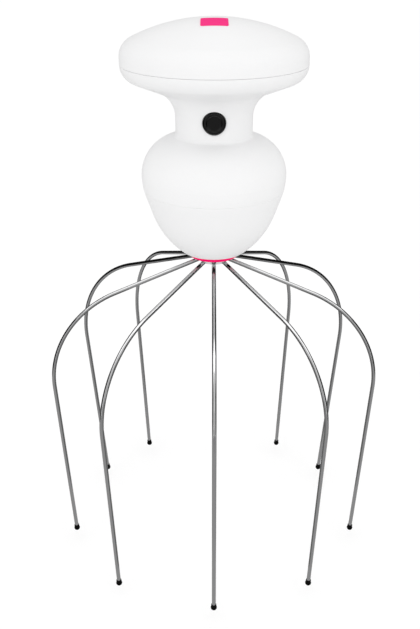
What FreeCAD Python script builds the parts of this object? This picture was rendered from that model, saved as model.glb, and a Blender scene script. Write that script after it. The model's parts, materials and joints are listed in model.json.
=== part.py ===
import FreeCAD, Part
import math
import os
from types import SimpleNamespace

import Sketcher

# A battery head massager that stands on nine sprung wires. Millimetres and degrees.
# Heights are measured up from the hub plane, where the lines of the wires meet on the axis. The
# Placement of each piece then raises it by hub_height, which sets the tip beads on the floor at Z = 0.
# The front, with the push button, faces -Y.

SIZES = {
    # sprung wires: a straight run, one bend, a long leg
    "wire_diameter": 1.6,
    "wire_slope_angle": 18.2,
    "wire_run": 42.6,
    "wire_bend_radius": 38.6,
    "leg_length": 73.9,
    "front_lean_angle": 3.0,
    "back_lean_angle": 5.6,
    "bead_wall": 0.45,
    "bead_collar_wall": 0.25,
    "bead_collar_height": 1.6,
    "bead_fit": 0.02,
    # angle of each pair of wires from the front wire
    "front_pair_angle": 38.0,
    "side_pair_angle": 75.5,
    "back_pair_angle": 119.0,
    "rear_pair_angle": 146.5,
    # wire roots in the hub
    "root_inset": 1.7,
    "stem_height": 2.4,
    "stem_bend_radius": 1.4,
    "flex_out_angle": 14.0,
    "flex_in_angle": 4.0,
    "slot_gap": 0.1,
    # hub, ring and the screw through them
    "hub_floor": 0.5,
    "hub_boss_radius": 4.9,
    "hub_flange_radius": 8.2,
    "hub_flange_thickness": 0.7,
    "hub_spigot_radius": 7.1,
    "hub_spigot_drop": 0.3,
    "hub_fit": 0.1,
    "pilot_radius": 1.25,
    "pilot_depth": 5.0,
    "ring_radius": 9.6,
    "ring_height": 2.0,
    "ring_edge": 0.3,
    "ring_skirt": 0.35,
    # shells
    "wall": 1.9,
    "base_floor": 2.0,
    "base_edge_radius": 12.59,
    "flank_angle": 19.0,
    "flank_drop": 6.99,
    "bulb_radius": 27.5,
    "neck_length": 5.97,
    "bulb_lower_radius": 24.0,
    "bulb_shoulder_radius": 14.8,
    "base_seam_drop": 5.1,
    "base_lip_height": 3.0,
    "base_lip_wall": 1.5,
    "shell_fit": 0.1,
    "seam_round": 0.2,
    "base_seam_round": 0.15,
    "neck_fillet": 1.2,
    "neck_flare_radius": 10.5,
    "cap_underside_angle": 21.5,
    "cap_lower_radius": 6.0,
    "cap_radius": 34.1,
    "cap_band": 2.664,
    "cap_upper_radius": 6.9,
    "crown_radius": 69.3,
    "deck_rise": 0.6,
    "deck_thickness": 2.4,
    # lid
    "lid_gap": 0.06,
    "lid_fit": 0.3,
    "lid_headroom": 3.7,
    "skirt_clear": 1.1,
    "skirt_wall": 1.6,
    "skirt_web": 1.4,
    "skirt_relief": 0.8,
    "seal_section": 0.9,
    "seal_fit": 0.03,
    "label_width": 9.6,
    "label_length": 10.4,
    "label_offset": 8.6,
    "label_corner": 0.8,
    "label_thickness": 0.15,
    "label_bond": 0.02,
    # cells and their holder
    "cell_diameter": 10.5,
    "cell_length": 44.5,
    "cell_nub_diameter": 3.8,
    "cell_nub_height": 0.9,
    "cell_gap": 0.7,
    "cell_fit": 0.15,
    "holder_wall": 1.1,
    "holder_floor": 1.2,
    "holder_gap": 0.4,
    "holder_flange_gap": 3.6,
    "holder_flange_thickness": 1.6,
    "holder_screw_length": 4.4,
    "holder_screw_radius": 0.95,
    "screw_fit": 0.06,
    "contact_height": 3.5,
    "contact_thickness": 0.4,
    "contact_radius": 4.2,
    "contact_fit": 0.1,
    "tab_width": 3.0,
    "tab_reach": 1.8,
    "spring_wire": 0.5,
    "spring_foot_radius": 3.6,
    "spring_top_radius": 2.6,
    "spring_turns": 3.0,
    "bridge_width": 5.0,
    "wiring_gap": 1.9,
    # push button and its switch
    "button_radius": 4.2,
    "button_rise": 0.6,
    "button_proud": 1.0,
    "button_fit": 0.12,
    "button_round": 0.5,
    "button_dish": 0.35,
    "button_flange_radius": 5.2,
    "button_flange_thickness": 0.8,
    "button_seat_gap": 0.15,
    "button_travel": 0.8,
    "board_thickness": 1.0,
    "board_width": 11.0,
    "board_length": 16.0,
    "post_radius": 0.7,
    "post_spread": 6.6,
    "post_fit": 0.05,
    "post_stand": 0.5,
    "switch_width": 6.0,
    "switch_depth": 1.6,
    "plunger_radius": 1.2,
    "plunger_fit": 0.1,
    "plunger_sink": 0.4,
    # motor and its mount
    "motor_diameter": 12.0,
    "motor_length": 14.0,
    "motor_wall": 0.5,
    "motor_boss_radius": 2.0,
    "motor_boss_height": 1.0,
    "motor_cap_thickness": 0.8,
    "motor_plug_depth": 1.0,
    "motor_fit": 0.05,
    "magnet_thickness": 0.85,
    "magnet_overhang": 1.0,
    "magnet_arc_angle": 110.0,
    "air_gap": 0.4,
    "armature_gap": 1.15,
    "armature_foot": 2.2,
    "armature_slot": 1.1,
    "armature_core_radius": 2.0,
    "commutator_radius": 1.9,
    "commutator_length": 2.0,
    "brush_thickness": 0.2,
    "brush_width": 1.0,
    "brush_gap": 0.05,
    "terminal_width": 1.8,
    "terminal_height": 1.8,
    "terminal_thickness": 0.4,
    "terminal_radius": 3.8,
    "shaft_diameter": 1.5,
    "shaft_fit": 0.04,
    "press_gap": 0.01,
    "weight_radius": 5.2,
    "weight_length": 6.0,
    "weight_hub_radius": 1.9,
    "weight_gap": 0.5,
    "mount_base_thickness": 1.4,
    "mount_base_gap": 0.7,
    "mount_wall": 1.6,
    "mount_grip": 10.0,
    "screw_head_radius": 2.6,
    "screw_head_height": 1.6,
    "screw_slot": 0.6,
    # insulated leads
    "lead_diameter": 1.1,
    "lead_stub": 2.3,
    "lead_loop": 5.0,
}

LEFT = 1
RIGHT = -1
UP = FreeCAD.Vector(0, 0, 1)


class Size:
    """A number, with the sheet expression that it comes from."""

    def __init__(self, value, text):
        self.value = float(value)
        self.text = text

    def __add__(self, other):
        other = as_size(other)
        return Size(self.value + other.value, f"({self.text} + {other.text})")

    def __sub__(self, other):
        other = as_size(other)
        return Size(self.value - other.value, f"({self.text} - {other.text})")

    def __mul__(self, other):
        other = as_size(other)
        return Size(self.value * other.value, f"({self.text} * {other.text})")

    def __truediv__(self, other):
        other = as_size(other)
        return Size(self.value / other.value, f"({self.text} / {other.text})")

    def __neg__(self):
        return Size(-self.value, f"(0 - {self.text})")


def as_size(thing):
    return thing if isinstance(thing, Size) else Size(thing, str(float(thing)))


def sine(angle):
    return Size(math.sin(math.radians(angle.value)), f"sin({angle.text})")


def cosine(angle):
    return Size(math.cos(math.radians(angle.value)), f"cos({angle.text})")


def tangent(angle):
    return Size(math.tan(math.radians(angle.value)), f"tan({angle.text})")


def leg_of(long_side, short_side):
    """The third side of a right triangle."""
    square = long_side * long_side - short_side * short_side
    return Size(math.sqrt(square.value), f"sqrt({square.text})")


doc = FreeCAD.newDocument("head_massager")
sheet = doc.addObject("Spreadsheet::Sheet", "sizes")
for row, (alias, number) in enumerate(SIZES.items(), start=1):
    sheet.set(f"A{row}", alias)
    sheet.set(f"B{row}", str(number))
    sheet.setAlias(f"B{row}", alias)
doc.recompute()
size = SimpleNamespace(**{alias: Size(number, "sizes." + alias) for alias, number in SIZES.items()})
ZERO = as_size(0)
finished = []


# Helpers: bound sizes, sketches and features


def bind(thing, **properties):
    """Ties properties to the sheet; a double underscore stands for a dot in a property's path."""
    for name, value in properties.items():
        thing.setExpression(name.replace("__", "."), as_size(value).text)


def keep(thing, label):
    thing.Label = label
    finished.append(thing)
    return thing


def new_body(label, height=None, turn=None):
    """A body raised to the hub plane and turned about Z."""
    body = doc.addObject("PartDesign::Body", label)
    bind(body, Placement__Base__z=hub_height if height is None else hub_height + height)
    if turn is not None:
        bind(body, Placement__Rotation__Angle=turn)
    return body


def new_sketch(body, plane="XZ_Plane", offset=None):
    sketch = body.newObject("Sketcher::SketchObject", body.Name + "_sketch")
    origin_plane = [feature for feature in body.Origin.OriginFeatures if feature.Role == plane][0]
    sketch.AttachmentSupport = [(origin_plane, "")]
    sketch.MapMode = "FlatFace"
    if offset is not None:
        bind(sketch, AttachmentOffset__Base__z=offset)
    return sketch


def constrain(sketch, kind, value, *places):
    """A dimension on the sketch, tied to the sheet."""
    index = sketch.addConstraint(Sketcher.Constraint(kind, *places, value.value))
    name = f"size_{index}"
    sketch.renameConstraint(index, name)
    sketch.setExpression("Constraints." + name, value.text)


def pin(sketch, geometry, point, x, y):
    """Holds a sketch point at x, y."""
    for kind, axis, value in (("DistanceX", -2, x), ("DistanceY", -1, y)):
        if value.text == ZERO.text:
            sketch.addConstraint(Sketcher.Constraint("PointOnObject", geometry, point, axis))
        else:
            constrain(sketch, kind, value, -1, 1, geometry, point)


def draw(sketch, start, *runs, closed=True):
    """Draws runs from start. A run is (x, y) for a line, or (x, y, radius, LEFT or RIGHT) for an arc.
    A closed outline gets a last line back to start, unless its last run ends there."""
    start = tuple(as_size(value) for value in start)
    runs = [tuple(as_size(value) for value in run[:3]) + tuple(run[3:]) for run in runs]
    if closed and [end.text for end in runs[-1][:2]] != [end.text for end in start]:
        runs.append(start)
    here = start
    ends = []
    for run in runs:
        p = FreeCAD.Vector(here[0].value, here[1].value, 0)
        q = FreeCAD.Vector(run[0].value, run[1].value, 0)
        if len(run) == 2:
            index = sketch.addGeometry(Part.LineSegment(p, q), False)
            ends.append((index, 1, 2))
        else:
            radius, side = run[2], run[3]
            half = (q - p) * 0.5
            inward = UP.cross(half).normalize() * side
            rise = math.sqrt(max(radius.value ** 2 - half.Length ** 2, 0))
            centre = p + half + inward * rise
            first, last = (p, q) if side == LEFT else (q, p)
            angles = [math.atan2(point.y - centre.y, point.x - centre.x) for point in (first, last)]
            circle = Part.Circle(centre, UP, radius.value)
            index = sketch.addGeometry(Part.ArcOfCircle(circle, *angles), False)
            constrain(sketch, "Radius", radius, index)
            ends.append((index, 1, 2) if side == LEFT else (index, 2, 1))
        here = run[:2]
    for (before, _, tail), (after, head, _) in zip(ends, ends[1:] + (ends[:1] if closed else [])):
        sketch.addConstraint(Sketcher.Constraint("Coincident", before, tail, after, head))
    for (index, head, _), corner in zip(ends, [start] + [run[:2] for run in runs]):
        pin(sketch, index, head, *corner)
    if not closed:
        pin(sketch, ends[-1][0], ends[-1][2], *runs[-1][:2])


def draw_circle(sketch, x, y, radius):
    x, y, radius = as_size(x), as_size(y), as_size(radius)
    centre = FreeCAD.Vector(x.value, y.value, 0)
    index = sketch.addGeometry(Part.Circle(centre, UP, radius.value), False)
    constrain(sketch, "Radius", radius, index)
    pin(sketch, index, 3, x, y)


def draw_capsule(sketch, half_length, radius):
    """A long hole shape along X: straight sides and round ends, centred on the origin."""
    tip = half_length + radius
    draw(sketch, (half_length, -radius), (tip, ZERO, radius, LEFT), (half_length, radius, radius, LEFT),
         (-half_length, radius), (-tip, ZERO, radius, LEFT), (-half_length, -radius, radius, LEFT))


def draw_rectangle(sketch, left, bottom, right, top):
    draw(sketch, (left, bottom), (right, bottom), (right, top), (left, top))


def revolve(body, *outline, angle=None):
    """Turns an outline of radius and height about the body's Z axis."""
    sketch = new_sketch(body)
    draw(sketch, *outline)
    turn = body.newObject("PartDesign::Revolution", body.Name + "_turn")
    turn.Profile = sketch
    turn.ReferenceAxis = (sketch, ["V_Axis"])
    turn.Angle = 360
    if angle is not None:
        bind(turn, Angle=angle)
    return body


def pad(body, sketch, length, both_ways=False):
    feature = body.newObject("PartDesign::Pad", body.Name + "_pad")
    feature.Profile = sketch
    feature.SideType = "Symmetric" if both_ways else "One side"
    bind(feature, Length=length)
    return feature


def pocket(body, sketch, length, forward=False, both_ways=False):
    """Cuts against the sketch's normal, or along it when forward."""
    feature = body.newObject("PartDesign::Pocket", body.Name + "_pocket")
    feature.Profile = sketch
    feature.SideType = "Symmetric" if both_ways else "One side"
    feature.Reversed = forward
    bind(feature, Length=length)
    return feature


def repeat_round(body, feature, count):
    """Copies a feature evenly round the body's Z axis."""
    doc.recompute()
    pattern = body.newObject("PartDesign::PolarPattern", body.Name + "_round")
    pattern.Originals = [feature]
    pattern.Axis = (feature.Profile[0], ["N_Axis"])
    pattern.Angle = 360
    pattern.Occurrences = count
    body.Tip = pattern
    return pattern


def box(name, corner, lengths):
    """A block from its lowest corner, in hub plane heights."""
    block = doc.addObject("Part::Box", name)
    bind(block, Length=lengths[0], Width=lengths[1], Height=lengths[2])
    bind(block, Placement__Base__x=corner[0], Placement__Base__y=corner[1])
    bind(block, Placement__Base__z=hub_height + corner[2])
    return block


def cylinder(name, x, y, z, radius, height, to_front=False):
    """A round bar that starts at x, y, z and points up, or to the front."""
    bar = doc.addObject("Part::Cylinder", name)
    if to_front:
        bar.Placement.Rotation = FreeCAD.Rotation(FreeCAD.Vector(1, 0, 0), 90)
    bind(bar, Radius=radius, Height=height)
    bind(bar, Placement__Base__x=x, Placement__Base__y=y, Placement__Base__z=hub_height + z)
    return bar


def cut(name, base, tool):
    result = doc.addObject("Part::Cut", name)
    result.Base = base
    result.Tool = tool
    return result


def fuse(name, *pieces):
    result = doc.addObject("Part::MultiFuse", name)
    result.Shapes = list(pieces)
    return result


def group(name, pieces):
    result = doc.addObject("Part::Compound", name)
    result.Links = pieces
    return result


def feature_from(shape, label):
    """A free-form piece, raised from hub plane heights after its shape is set."""
    piece = doc.addObject("Part::Feature", label)
    piece.Shape = shape
    bind(piece, Placement__Base__z=hub_height)
    return keep(piece, label)


# Where things are, worked out from the sizes

wire_radius = size.wire_diameter / 2
bead_radius = wire_radius + size.bead_wall

# Wire line in its own upright plane: x out from the axis, y up from the hub plane
bend_start_x = size.wire_run * cosine(size.wire_slope_angle)
bend_start_y = -(size.wire_run * sine(size.wire_slope_angle))
bend_x = bend_start_x - size.wire_bend_radius * sine(size.wire_slope_angle)
bend_y = bend_start_y - size.wire_bend_radius * cosine(size.wire_slope_angle)
front_bend_end = bend_y - size.wire_bend_radius * sine(size.front_lean_angle)
tip_y = front_bend_end - size.leg_length * cosine(size.front_lean_angle)
hub_height = bead_radius - tip_y

# Root of a wire: a short upright stem over the point that the wire swings about
pivot_x = size.hub_spigot_radius - size.root_inset
pivot_y = -(pivot_x * tangent(size.wire_slope_angle))
stem_top = pivot_y + size.stem_height
stem_turn = size.stem_bend_radius * tangent((as_size(90) - size.wire_slope_angle) / 2)

pair_angles = [size.front_pair_angle, size.side_pair_angle, size.back_pair_angle, size.rear_pair_angle]
finger_angles = [ZERO] + pair_angles + [-angle for angle in reversed(pair_angles)]
finger_turns = [angle - 90 for angle in finger_angles]
pair_leans = [size.front_lean_angle] * 2 + [size.back_lean_angle] * 2
finger_leans = [size.front_lean_angle] + pair_leans + pair_leans[::-1]

# Motor stack, from the floor of the base cup up
floor_top = size.ring_height + size.base_floor
mount_base_top = floor_top + size.mount_base_thickness
weight_foot = mount_base_top + size.screw_head_height + size.weight_gap
weight_top = weight_foot + size.weight_length
motor_foot = weight_top + size.weight_gap + size.motor_boss_height
motor_top = motor_foot + size.motor_length
motor_radius = size.motor_diameter / 2
can_bore = motor_radius - size.motor_wall
shaft_radius = size.shaft_diameter / 2
shaft_hole = shaft_radius + size.shaft_fit
rotor_bore = shaft_radius + size.press_gap
plug_foot = motor_top - size.motor_plug_depth
cap_top = motor_top + size.motor_cap_thickness
terminal_top = cap_top + size.terminal_height
terminal_face = size.terminal_radius + size.terminal_thickness
magnet_radius = can_bore - size.motor_fit
armature_radius = magnet_radius - size.magnet_thickness - size.air_gap
armature_foot = motor_foot + size.armature_foot
commutator_top = plug_foot - size.brush_gap
commutator_foot = commutator_top - size.commutator_length
armature_top = commutator_foot - size.armature_gap
armature_length = armature_top - armature_foot
chamber_radius = size.weight_radius + size.weight_gap

# Cells above the motor, side by side in their holder
holder_foot = terminal_top + size.wiring_gap
holder_floor_top = holder_foot + size.holder_floor
cell_foot = holder_floor_top + size.contact_height
cell_top = cell_foot + size.cell_length
cell_radius = size.cell_diameter / 2
cell_x = cell_radius + size.cell_gap / 2
cell_bore = cell_radius + size.cell_fit
holder_radius = cell_bore + size.holder_wall
holder_reach = cell_x + holder_radius
tab_end = holder_reach + size.tab_reach
bridge_foot = cell_top + size.contact_fit
bridge_top = bridge_foot + size.contact_thickness

# Dome over the cells
crown_height = bridge_top + size.lid_headroom + size.wall
crown_centre = crown_height - size.crown_radius
cap_upper_x = size.cap_radius - size.cap_upper_radius
cap_upper_y = crown_centre + leg_of(size.crown_radius - size.cap_upper_radius, cap_upper_x)
crown_share = size.crown_radius / (size.crown_radius - size.cap_upper_radius)
crown_inner = size.crown_radius - size.wall
crown_inner_share = crown_inner / (size.crown_radius - size.cap_upper_radius)
cap_bore = size.cap_radius - size.wall
cap_seam_height = cap_upper_y - size.cap_band
lid_foot = cap_seam_height + size.lid_gap

# Neck round the holder, and the underside of the cap
neck_bore = holder_reach + size.holder_gap
neck_radius = neck_bore + size.wall
shoulder_x = size.bulb_radius - size.bulb_shoulder_radius
fillet_x = neck_radius + size.neck_fillet
fillet_share = size.bulb_shoulder_radius / (size.bulb_shoulder_radius + size.neck_fillet)
flare_x = neck_radius + size.neck_flare_radius
cap_lower_x = size.cap_radius - size.cap_lower_radius
under_sine = sine(size.cap_underside_angle)
under_cosine = cosine(size.cap_underside_angle)
under_slope = tangent(size.cap_underside_angle)
under_end_x = cap_lower_x + size.cap_lower_radius * under_sine
under_end_y = cap_seam_height - size.cap_lower_radius * under_cosine
under_start_x = flare_x - size.neck_flare_radius * under_sine
under_start_y = under_end_y - (under_end_x - under_start_x) * under_slope
waist = under_start_y - size.neck_flare_radius * under_cosine
flare_bore = size.neck_flare_radius + size.wall
bore_start_x = flare_x - flare_bore * under_sine
bore_start_y = waist + flare_bore * under_cosine
deck_top = bore_start_y + size.deck_rise
deck_reach = bore_start_x + size.deck_rise / under_slope
deck_foot = deck_top - size.deck_thickness
deck_foot_x = flare_x - leg_of(flare_bore, deck_foot - waist)
holder_top = deck_top + size.holder_flange_thickness
holder_flange_radius = deck_reach - size.holder_flange_gap
holder_screw_circle = (neck_bore + holder_flange_radius) / 2

# Bulb, hung from the neck
fillet_y = waist - size.neck_length
bulb_height = fillet_y - leg_of(size.bulb_shoulder_radius + size.neck_fillet, fillet_x - shoulder_x)
base_seam_height = bulb_height - size.base_seam_drop
lower_x = size.bulb_radius - size.bulb_lower_radius
flank_sine = sine(size.flank_angle)
flank_cosine = cosine(size.flank_angle)
flank_top_x = lower_x + size.bulb_lower_radius * flank_cosine
flank_top_y = bulb_height - size.bulb_lower_radius * flank_sine
flank_foot_x = flank_top_x - size.flank_drop * tangent(size.flank_angle)
flank_foot_y = flank_top_y - size.flank_drop
base_seam_bore = lower_x + leg_of(size.bulb_lower_radius - size.wall, size.base_seam_drop)

# Foot of the bulb: the arc that leaves the flank smoothly and ends at the edge over the ring
base_run = flank_foot_x - size.base_edge_radius
base_drop = flank_foot_y - size.ring_height
base_curve_radius = (base_run * base_run + base_drop * base_drop) / (
    (base_run * flank_cosine - base_drop * flank_sine) * 2)
base_curve_x = flank_foot_x - base_curve_radius * flank_cosine
base_curve_y = flank_foot_y + base_curve_radius * flank_sine
floor_reach = base_curve_x + leg_of(base_curve_radius - size.wall, base_curve_y - floor_top)

# Rim that the skirt of the lid stands in: as wide as the curve inside the cap allows at its depth
skirt_depth = size.cap_lower_radius - size.wall - size.skirt_clear
rim_bore = cap_lower_x + leg_of(size.cap_lower_radius - size.wall, skirt_depth + size.lid_fit)
rim_edge = cap_lower_x + leg_of(size.cap_lower_radius, size.seam_round)
skirt_radius = rim_bore - size.lid_fit
skirt_bore = skirt_radius - size.skirt_wall
seal_height = cap_seam_height - skirt_depth / 2

# Button and switch, as distances out from the axis towards the front
button_height = waist + size.button_rise
board_face = holder_radius + size.board_thickness
switch_face = board_face + size.switch_depth
button_seat = leg_of(neck_bore, size.button_flange_radius) - size.button_seat_gap
button_back = button_seat - size.button_flange_thickness
button_face = neck_radius + size.button_proud
plunger_end = switch_face - size.plunger_sink


# Shells


def make_main_housing():
    upper_edge = lower_x + leg_of(size.bulb_lower_radius, size.base_seam_drop - size.base_seam_round)
    body = new_body("main_housing")
    revolve(body,
            (upper_edge - size.base_seam_round, base_seam_height),
            (upper_edge, base_seam_height + size.base_seam_round, size.base_seam_round, LEFT),
            (size.bulb_radius, bulb_height, size.bulb_lower_radius, LEFT),
            (shoulder_x + (fillet_x - shoulder_x) * fillet_share,
             bulb_height + (fillet_y - bulb_height) * fillet_share,
             size.bulb_shoulder_radius, LEFT),
            (neck_radius, fillet_y, size.neck_fillet, RIGHT),
            (neck_radius, waist),
            (under_start_x, under_start_y, size.neck_flare_radius, RIGHT),
            (under_end_x, under_end_y),
            (rim_edge, cap_seam_height - size.seam_round, size.cap_lower_radius, LEFT),
            (rim_edge - size.seam_round, cap_seam_height, size.seam_round, LEFT),
            (rim_bore, cap_seam_height),
            (rim_bore, cap_seam_height - skirt_depth - size.lid_fit),
            (cap_lower_x + (size.cap_lower_radius - size.wall) * under_sine,
             cap_seam_height - (size.cap_lower_radius - size.wall) * under_cosine,
             size.cap_lower_radius - size.wall, RIGHT),
            (deck_reach, deck_top),
            (neck_bore, deck_top),
            (neck_bore, deck_foot),
            (deck_foot_x, deck_foot),
            (neck_bore, waist, flare_bore, LEFT),
            (neck_bore,
             bulb_height + leg_of(size.bulb_shoulder_radius - size.wall, neck_bore - shoulder_x)),
            (size.bulb_radius - size.wall, bulb_height, size.bulb_shoulder_radius - size.wall, RIGHT),
            (base_seam_bore, base_seam_height, size.bulb_lower_radius - size.wall, RIGHT))
    button_hole = new_sketch(body)
    draw_circle(button_hole, 0, button_height, size.button_radius + size.button_fit)
    pocket(body, button_hole, size.cap_radius, forward=True)
    screw_hole = new_sketch(body, "XY_Plane", deck_top)
    draw_circle(screw_hole, 0, holder_screw_circle, size.holder_screw_radius + size.screw_fit)
    hole = pocket(body, screw_hole, size.holder_screw_length - size.holder_flange_thickness + size.screw_fit)
    repeat_round(body, hole, 3)
    return keep(body, "main_housing")


def make_base_cup():
    lip_radius = base_seam_bore - size.shell_fit
    lip_bore = lip_radius - size.base_lip_wall
    lip_top = base_seam_height + size.base_lip_height
    inner_foot_x = flank_foot_x - size.wall * cosine(size.flank_angle)
    inner_foot_y = flank_foot_y + size.wall * sine(size.flank_angle)
    lip_root = inner_foot_y + (lip_bore - inner_foot_x) / tangent(size.flank_angle)
    floor_hole = size.hub_spigot_radius + size.hub_fit
    lower_edge = lower_x + leg_of(size.bulb_lower_radius, size.base_seam_drop + size.base_seam_round)
    body = new_body("base_cup")
    revolve(body,
            (size.base_edge_radius, size.ring_height),
            (flank_foot_x, flank_foot_y, base_curve_radius, LEFT),
            (flank_top_x, flank_top_y),
            (lower_edge, base_seam_height - size.base_seam_round, size.bulb_lower_radius, LEFT),
            (lower_edge - size.base_seam_round, base_seam_height, size.base_seam_round, LEFT),
            (lip_radius, base_seam_height),
            (lip_radius, lip_top),
            (lip_bore, lip_top),
            (lip_bore, lip_root),
            (inner_foot_x, inner_foot_y),
            (floor_reach, floor_top, base_curve_radius - size.wall, RIGHT),
            (floor_hole, floor_top),
            (floor_hole, size.ring_height))
    return keep(body, "base_cup")


def make_lid():
    seal_groove = skirt_radius - size.seal_section + size.lid_fit - size.seal_fit * 2
    groove_top = seal_height + size.seal_section / 2 + size.seal_fit
    groove_foot = seal_height - size.seal_section / 2 - size.seal_fit
    skirt_foot = cap_seam_height - skirt_depth
    web_foot = lid_foot + size.skirt_relief
    web_top = web_foot + size.skirt_web
    body = new_body("lid_dome")
    revolve(body,
            (0, crown_height),
            (cap_upper_x * crown_share, crown_centre + (cap_upper_y - crown_centre) * crown_share,
             size.crown_radius, RIGHT),
            (size.cap_radius, cap_upper_y, size.cap_upper_radius, RIGHT),
            (size.cap_radius, lid_foot + size.seam_round),
            (size.cap_radius - size.seam_round, lid_foot, size.seam_round, RIGHT),
            (cap_bore, lid_foot),
            (cap_bore, web_foot),
            (skirt_radius, web_foot),
            (skirt_radius, groove_top),
            (seal_groove, groove_top),
            (seal_groove, groove_foot),
            (skirt_radius, groove_foot),
            (skirt_radius, skirt_foot),
            (skirt_bore, skirt_foot),
            (skirt_bore, web_top),
            (cap_bore, web_top),
            (cap_bore, cap_upper_y),
            (cap_upper_x * crown_inner_share, crown_centre + (cap_upper_y - crown_centre) * crown_inner_share,
             size.cap_upper_radius - size.wall, LEFT),
            (0, crown_height - size.wall, crown_inner, LEFT))
    contact_post = new_sketch(body, "XY_Plane", bridge_top)
    draw_capsule(contact_post, cell_x, size.bridge_width / 2)
    pad(body, contact_post, crown_height - size.wall / 2 - bridge_top)
    keep(body, "lid_dome")

    seal = doc.addObject("Part::Torus", "lid_seal")
    bind(seal, Radius1=rim_bore - size.seal_fit - size.seal_section / 2, Radius2=size.seal_section / 2)
    bind(seal, Placement__Base__z=hub_height + seal_height)
    keep(seal, "lid_seal")

    bridge = new_body("bridge_contact", bridge_foot)
    plate = new_sketch(bridge, "XY_Plane")
    draw_capsule(plate, cell_x, size.bridge_width / 2)
    pad(bridge, plate, size.contact_thickness)
    keep(bridge, "bridge_contact")


def make_label():
    """A thin tag bent to the dome: a layer between two spheres, inside a rounded upright block."""
    layers = []
    inside = size.crown_radius + size.label_bond
    for name, radius in (("label_outside", inside + size.label_thickness), ("label_inside", inside)):
        ball = doc.addObject("Part::Sphere", name)
        bind(ball, Radius=radius, Placement__Base__z=hub_height + crown_centre)
        layers.append(ball)
    layer = cut("label_layer", *layers)
    block = new_body("label_block", crown_centre)
    outline = new_sketch(block, "XY_Plane")
    half_width = size.label_width / 2
    corner = size.label_corner
    front = -(size.label_offset + size.label_length / 2)
    rear = front + size.label_length
    draw(outline, (-half_width + corner, front), (half_width - corner, front),
         (half_width, front + corner, corner, LEFT), (half_width, rear - corner),
         (half_width - corner, rear, corner, LEFT), (-half_width + corner, rear),
         (-half_width, rear - corner, corner, LEFT), (-half_width, front + corner),
         (-half_width + corner, front, corner, LEFT))
    pad(block, outline, size.crown_radius * 2)
    tag = doc.addObject("Part::Common", "blank_label")
    tag.Base = layer
    tag.Tool = block
    return keep(tag, "blank_label")


# Hub, ring and wires


def make_hub():
    """A turned block with a flared slot for each wire root to swing in."""
    reach = wire_radius + size.slot_gap
    steep = size.wire_slope_angle + size.flex_in_angle
    shallow = size.wire_slope_angle - size.flex_out_angle
    slot_foot = pivot_y - reach / cosine(steep)
    boss_foot = slot_foot - size.hub_floor
    slot_inner = pivot_x - reach - size.stem_height * sine(size.flex_out_angle)
    slot_outer = pivot_x + reach + size.stem_height * sine(size.flex_in_angle)
    slot_top = stem_top + wire_radius * sine(size.flex_out_angle) + size.slot_gap
    slot_end = size.hub_flange_radius + size.wire_diameter

    def ceiling(x):
        return pivot_y - (x - pivot_x) * tangent(shallow) + reach / cosine(shallow)

    spigot_top = floor_top - size.hub_spigot_drop
    blank = new_body("hub_blank")
    revolve(blank,
            (0, boss_foot),
            (size.hub_boss_radius, boss_foot),
            (size.hub_flange_radius, -size.hub_flange_thickness),
            (size.hub_flange_radius, 0),
            (size.hub_spigot_radius, 0),
            (size.hub_spigot_radius, spigot_top),
            (size.pilot_radius, spigot_top),
            (size.pilot_radius, spigot_top - size.pilot_depth),
            (0, spigot_top - size.pilot_depth))
    slots = []
    for number, turn in enumerate(finger_turns, start=1):
        slot = new_body(f"slot_{number}", turn=turn)
        outline = new_sketch(slot)
        draw(outline,
             (slot_inner, slot_top),
             (slot_inner, slot_foot),
             (pivot_x, slot_foot),
             (slot_end, slot_foot - (slot_end - pivot_x) * tangent(steep)),
             (slot_end, ceiling(slot_end)),
             (slot_outer, ceiling(slot_outer)),
             (slot_outer, slot_top))
        pad(slot, outline, reach * 2, both_ways=True)
        slots.append(slot)
    return keep(cut("wire_hub", blank, group("hub_slots", slots)), "wire_hub")


def make_accent_ring():
    bore = size.hub_spigot_radius + size.hub_fit
    flange_bore = size.hub_flange_radius + size.hub_fit
    body = new_body("accent_ring")
    revolve(body,
            (bore, 0),
            (flange_bore, 0),
            (flange_bore, -size.ring_skirt),
            (size.ring_radius - size.ring_edge, -size.ring_skirt),
            (size.ring_radius, size.ring_edge - size.ring_skirt, size.ring_edge, LEFT),
            (size.ring_radius, size.ring_height),
            (bore, size.ring_height))
    return keep(body, "accent_ring")


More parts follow.
